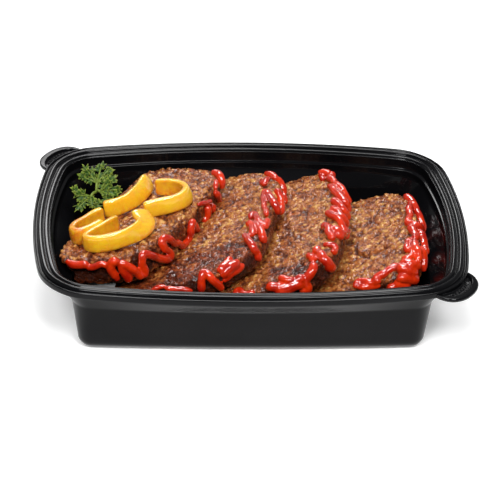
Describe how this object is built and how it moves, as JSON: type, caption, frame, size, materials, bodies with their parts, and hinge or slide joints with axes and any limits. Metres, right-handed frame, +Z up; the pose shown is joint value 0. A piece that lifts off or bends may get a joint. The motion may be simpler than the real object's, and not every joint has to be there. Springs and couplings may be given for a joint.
{
  "type": "packed meatloaf meal",
  "caption": "Sliced meatloaf shingled in a shallow lipped tray with corner tabs, striped with tomato sauce and garnished with pepper strips and a parsley sprig.",
  "frame": {"origin": "centre of the tray's flat base", "axes": "+X along the tray, +Y across it to the far side, +Z up out of the tray"},
  "size_m": [0.235, 0.1584, 0.0569],
  "materials": {
    "tray_plastic": "satin black moulded plastic",
    "baked_meat": "moist, crumbly baked ground meat with a browned crust",
    "pepper_flesh": "wet, slightly translucent yellow pepper with orange edges",
    "parsley_leaf": "fresh curly leaf",
    "tomato_sauce": "glossy red sauce"
  },
  "bodies": {
    "root": {"tray": "tray_plastic", "slice_1": "baked_meat", "slice_2": "baked_meat", "slice_3": "baked_meat", "slice_4": "baked_meat", "pepper_strip_1": "pepper_flesh", "pepper_strip_2": "pepper_flesh", "pepper_strip_3": "pepper_flesh", "pepper_strip_4": "pepper_flesh", "parsley_sprig": "parsley_leaf"}
  },
  "joints": []
}
